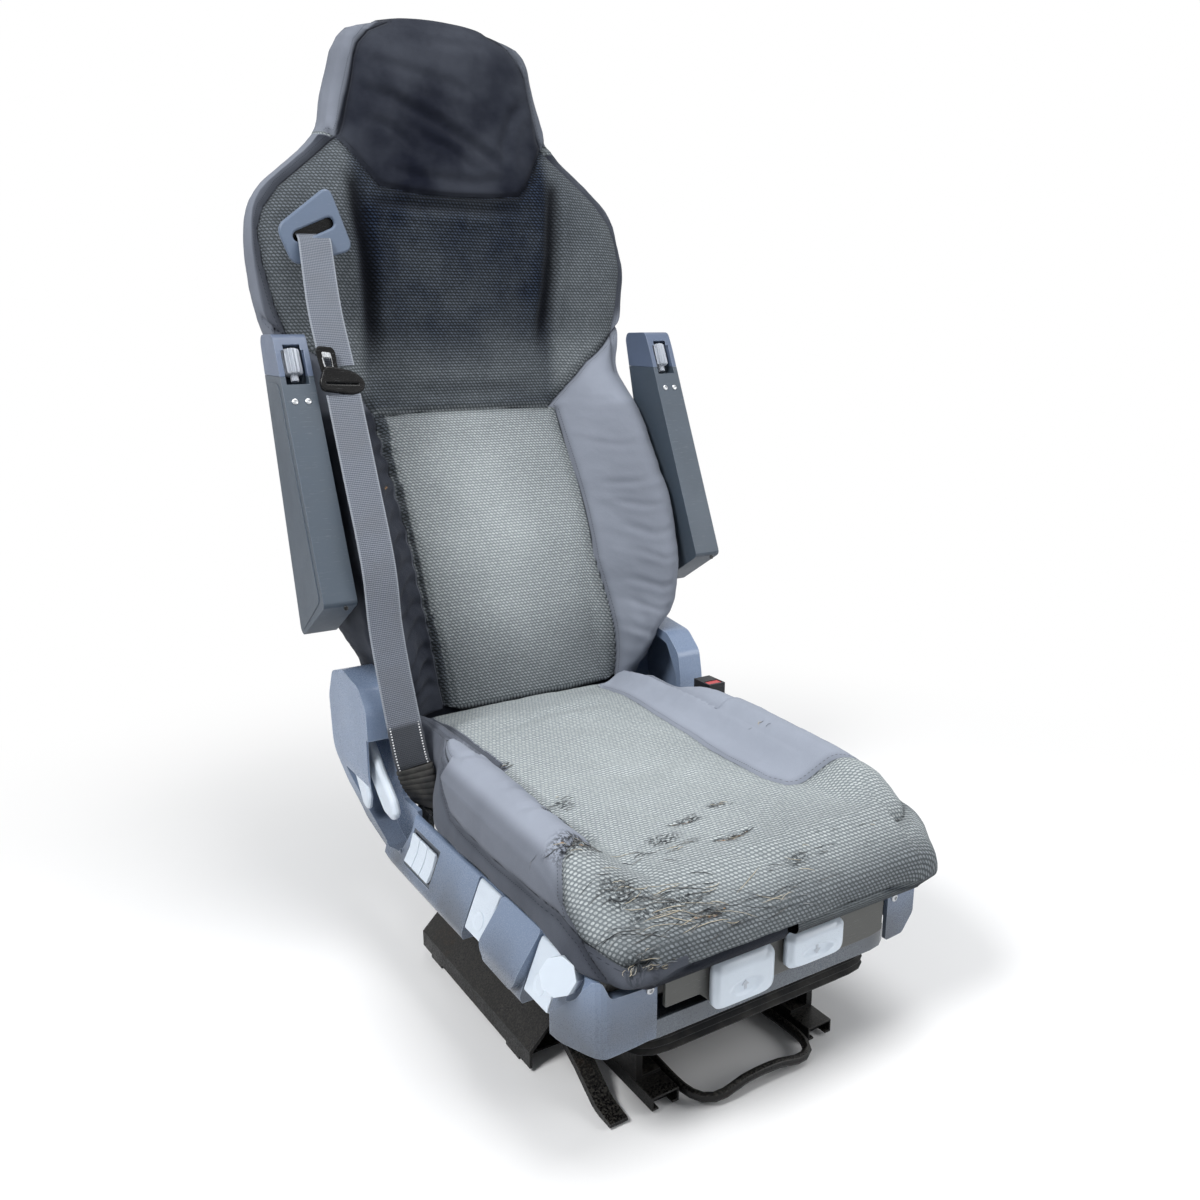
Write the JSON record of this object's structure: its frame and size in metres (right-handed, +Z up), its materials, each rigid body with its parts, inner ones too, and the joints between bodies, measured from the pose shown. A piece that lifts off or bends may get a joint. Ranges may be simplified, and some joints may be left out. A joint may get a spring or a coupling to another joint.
{
  "type": "air-suspended driver seat",
  "caption": "Cloth driver's seat with high back, side bolsters, integrated shoulder belt, folding armrests, side console with levers, and an air-sprung base on slide rails.",
  "frame": {"origin": "middle of the floor plate's underside, on the floor between the two slide rails", "axes": "+Z up, -Y the way a sitter faces, -X the side console's side; x = 0 is the cushions' middle plane"},
  "size_m": [0.652, 0.9359, 1.312],
  "materials": {
    "black_steel": "satin black paint, worn and dusty",
    "bare_steel": "zinc-plated, satin",
    "console_plastic": "satin blue-grey",
    "dark_plastic": "fine grain, dark slate",
    "pale_plastic": "satin pale grey",
    "grey_plastic": "satin mid grey",
    "rubber": "black, slightly glossy",
    "plain_cloth": "plain dark blue-grey upholstery cloth",
    "weave_cloth": "dark basket-weave upholstery cloth, worn",
    "webbing": "grey woven webbing",
    "red_plastic": "red"
  },
  "bodies": {
    "floor_frame": {"rail_lower_left": "black_steel", "rail_lower_right": "black_steel", "floor_plate": "black_steel", "side_member_left": "black_steel"},
    "slide_frame": {"rail_upper_left": "black_steel", "rail_upper_right": "black_steel", "suspension_base": "black_steel", "bellows": "rubber", "air_spring": "rubber"},
    "slide_bar": {"slide_bar": "black_steel"},
    "scissor_outer": {"scissor_arm_outer": "black_steel"},
    "scissor_inner": {"scissor_arm_inner": "black_steel"},
    "damper_body": {"damper_body": "black_steel"},
    "damper_rod": {"damper_rod": "bare_steel"},
    "upper_frame": {"suspension_top_frame": "black_steel", "bellows_rim": "grey_plastic", "console_shell": "console_plastic", "switch_bezel": "grey_plastic", "side_cover_right": "console_plastic", "recline_bracket_left": "bare_steel", "recline_bracket_right": "bare_steel", "belt_anchor": "bare_steel", "belt_sleeve": "rubber", "webbing_lower": "webbing"},
    "buckle_stalk": {"buckle_stalk": "dark_plastic"},
    "buckle_button": {"buckle_button": "red_plastic"},
    "tilt_frame": {"seat_pan": "black_steel", "pan_front_cover": "grey_plastic"},
    "flap_handle_left": {"flap_handle_left": "pale_plastic"},
    "flap_handle_right": {"flap_handle_right": "pale_plastic"},
    "cushion_carrier": {"cushion_base": "black_steel", "seat_cushion": "weave_cloth"},
    "backrest_lower": {"backrest_frame_lower": "black_steel", "recline_shaft": "bare_steel", "back_shell_lower": "dark_plastic", "lower_back_cushion": "weave_cloth", "belt_retractor": "dark_plastic"},
    "backrest_upper": {"backrest_frame_upper": "black_steel", "back_shell_upper": "dark_plastic", "upper_back_cushion": "weave_cloth", "headrest_cushion": "plain_cloth", "belt_guide": "grey_plastic", "webbing_upper": "webbing"},
    "belt_tongue": {"belt_tongue": "dark_plastic"},
    "armrest_left": {"armrest_left": "dark_plastic", "armrest_cap_left": "grey_plastic"},
    "armrest_right": {"armrest_right": "dark_plastic", "armrest_cap_right": "grey_plastic"},
    "thumbwheel_left": {"thumbwheel_left": "pale_plastic"},
    "thumbwheel_right": {"thumbwheel_right": "pale_plastic"},
    "recline_lever": {"recline_lever": "pale_plastic"},
    "shoulder_lever": {"shoulder_lever": "pale_plastic"},
    "rocker_front": {"rocker_front": "pale_plastic"},
    "rocker_middle": {"rocker_middle": "pale_plastic"},
    "rocker_rear": {"rocker_rear": "pale_plastic"},
    "pull_handle_rear": {"pull_handle_rear": "pale_plastic"},
    "pull_handle_front": {"pull_handle_front": "pale_plastic"},
    "side_knob": {"side_knob": "pale_plastic"}
  },
  "joints": [
    {"name": "seat_slide", "type": "slide", "parent": "floor_frame", "child": "slide_frame", "axis": [0, -1, 0], "range_m": [-0.06, 0.12]},
    {"name": "slide_release", "type": "hinge", "parent": "slide_frame", "child": "slide_bar", "pos_m": [0, -0.221, 0.012], "axis": [-1, 0, 0], "range_deg": [0, 8], "stiffness_Nm_per_rad": 4, "springref_deg": -17.19},
    {"name": "suspension_height", "type": "slide", "parent": "slide_frame", "child": "upper_frame", "axis": [0, 0, 1], "range_m": [0, 0.1], "deforming": ["bellows", "air_spring"]},
    {"name": "scissor_outer_pivot", "type": "hinge", "parent": "slide_frame", "child": "scissor_outer", "pos_m": [0, 0.07, 0.075], "axis": [-1, 0, 0], "range_deg": [0, 20.5]},
    {"name": "scissor_inner_pivot", "type": "hinge", "parent": "upper_frame", "child": "scissor_inner", "pos_m": [0, 0.07, 0.122], "axis": [1, 0, 0], "range_deg": [0, 20.5]},
    {"name": "damper_pivot", "type": "hinge", "parent": "slide_frame", "child": "damper_body", "pos_m": [0.055, 0.06, 0.078], "axis": [-1, 0, 0], "range_deg": [0, 23]},
    {"name": "damper_stroke", "type": "slide", "parent": "damper_body", "child": "damper_rod", "axis": [0, -0.9806, 0.1961], "range_m": [0, 0.0395]},
    {"name": "buckle_swing", "type": "hinge", "parent": "upper_frame", "child": "buckle_stalk", "pos_m": [0.2308, 0.092, 0.184], "axis": [1, 0, 0], "range_deg": [-12, 0]},
    {"name": "buckle_release", "type": "slide", "parent": "buckle_stalk", "child": "buckle_button", "axis": [0, 0, -1], "range_m": [0, 0.003], "stiffness_N_per_m": 600, "springref_m": -0.002},
    {"name": "cushion_tilt", "type": "hinge", "parent": "upper_frame", "child": "tilt_frame", "pos_m": [0, 0.095, 0.184], "axis": [-1, 0, 0], "range_deg": [0, 4.5]},
    {"name": "flap_left_pull", "type": "hinge", "parent": "tilt_frame", "child": "flap_handle_left", "pos_m": [-0.062, -0.3575, 0.204], "axis": [-1, 0, 0], "range_deg": [0, 15], "stiffness_Nm_per_rad": 0.6, "springref_deg": -17.19},
    {"name": "flap_right_pull", "type": "hinge", "parent": "tilt_frame", "child": "flap_handle_right", "pos_m": [0.042, -0.3575, 0.204], "axis": [-1, 0, 0], "range_deg": [0, 15], "stiffness_Nm_per_rad": 0.6, "springref_deg": -17.19},
    {"name": "cushion_depth", "type": "slide", "parent": "tilt_frame", "child": "cushion_carrier", "axis": [0, -1, 0], "range_m": [0, 0.055]},
    {"name": "recline", "type": "hinge", "parent": "upper_frame", "child": "backrest_lower", "pos_m": [0, 0.28, 0.265], "axis": [-1, 0, 0], "range_deg": [-6, 38], "deforming": ["webbing_lower"]},
    {"name": "shoulder_tilt", "type": "hinge", "parent": "backrest_lower", "child": "backrest_upper", "pos_m": [0, 0.487, 0.744], "axis": [1, 0, 0], "range_deg": [0, 8], "deforming": ["webbing_upper"]},
    {"name": "tongue_slide", "type": "slide", "parent": "backrest_lower", "child": "belt_tongue", "axis": [-0.0121, 0.4856, 0.8741], "range_m": [0, 0.05]},
    {"name": "armrest_left_fold", "type": "hinge", "parent": "backrest_lower", "child": "armrest_left", "pos_m": [-0.303, 0.243, 0.525], "axis": [1, 0, 0], "range_deg": [0, 105]},
    {"name": "thumbwheel_left_turn", "type": "hinge", "parent": "armrest_left", "child": "thumbwheel_left", "pos_m": [-0.303, 0.327, 0.822], "axis": [0, 0.4004, 0.9163], "continuous": true},
    {"name": "armrest_right_fold", "type": "hinge", "parent": "backrest_lower", "child": "armrest_right", "pos_m": [0.303, 0.243, 0.525], "axis": [1, 0, 0], "range_deg": [0, 105]},
    {"name": "thumbwheel_right_turn", "type": "hinge", "parent": "armrest_right", "child": "thumbwheel_right", "pos_m": [0.303, 0.327, 0.822], "axis": [0, 0.4004, 0.9163], "continuous": true},
    {"name": "recline_release", "type": "hinge", "parent": "upper_frame", "child": "recline_lever", "pos_m": [-0.2762, 0.262, 0.318], "axis": [-1, 0, 0], "range_deg": [0, 12], "stiffness_Nm_per_rad": 1.5, "springref_deg": -17.19},
    {"name": "shoulder_release", "type": "hinge", "parent": "upper_frame", "child": "shoulder_lever", "pos_m": [-0.2652, 0.262, 0.318], "axis": [-1, 0, 0], "range_deg": [0, 12], "stiffness_Nm_per_rad": 1.5, "springref_deg": -17.19},
    {"name": "rocker_front_tip", "type": "hinge", "parent": "upper_frame", "child": "rocker_front", "pos_m": [-0.2559, 0.029, 0.196], "axis": [0, 1, 0], "range_deg": [-6, 6], "stiffness_Nm_per_rad": 0.15},
    {"name": "rocker_middle_tip", "type": "hinge", "parent": "upper_frame", "child": "rocker_middle", "pos_m": [-0.2559, 0.054, 0.196], "axis": [0, 1, 0], "range_deg": [-6, 6], "stiffness_Nm_per_rad": 0.15},
    {"name": "rocker_rear_tip", "type": "hinge", "parent": "upper_frame", "child": "rocker_rear", "pos_m": [-0.2559, 0.079, 0.196], "axis": [0, 1, 0], "range_deg": [-6, 6], "stiffness_Nm_per_rad": 0.15},
    {"name": "pull_rear_squeeze", "type": "hinge", "parent": "upper_frame", "child": "pull_handle_rear", "pos_m": [-0.2403, -0.119, 0.2317], "axis": [0, 1, 0], "range_deg": [0, 12], "stiffness_Nm_per_rad": 0.6, "springref_deg": -17.19},
    {"name": "pull_front_squeeze", "type": "hinge", "parent": "upper_frame", "child": "pull_handle_front", "pos_m": [-0.2403, -0.268, 0.2317], "axis": [0, 1, 0], "range_deg": [0, 12], "stiffness_Nm_per_rad": 0.6, "springref_deg": -17.19},
    {"name": "knob_turn", "type": "hinge", "parent": "upper_frame", "child": "side_knob", "pos_m": [-0.252, -0.306, 0.222], "axis": [-0.721, -0.5508, 0.4206], "continuous": true}
  ],
  "couplings": [
    {"joint": "scissor_outer_pivot", "follows": "suspension_height", "rad_per_m": 3.548},
    {"joint": "scissor_inner_pivot", "follows": "suspension_height", "rad_per_m": 3.548},
    {"joint": "damper_pivot", "follows": "suspension_height", "rad_per_m": 3.97},
    {"joint": "damper_stroke", "follows": "suspension_height", "ratio": 0.393}
  ]
}
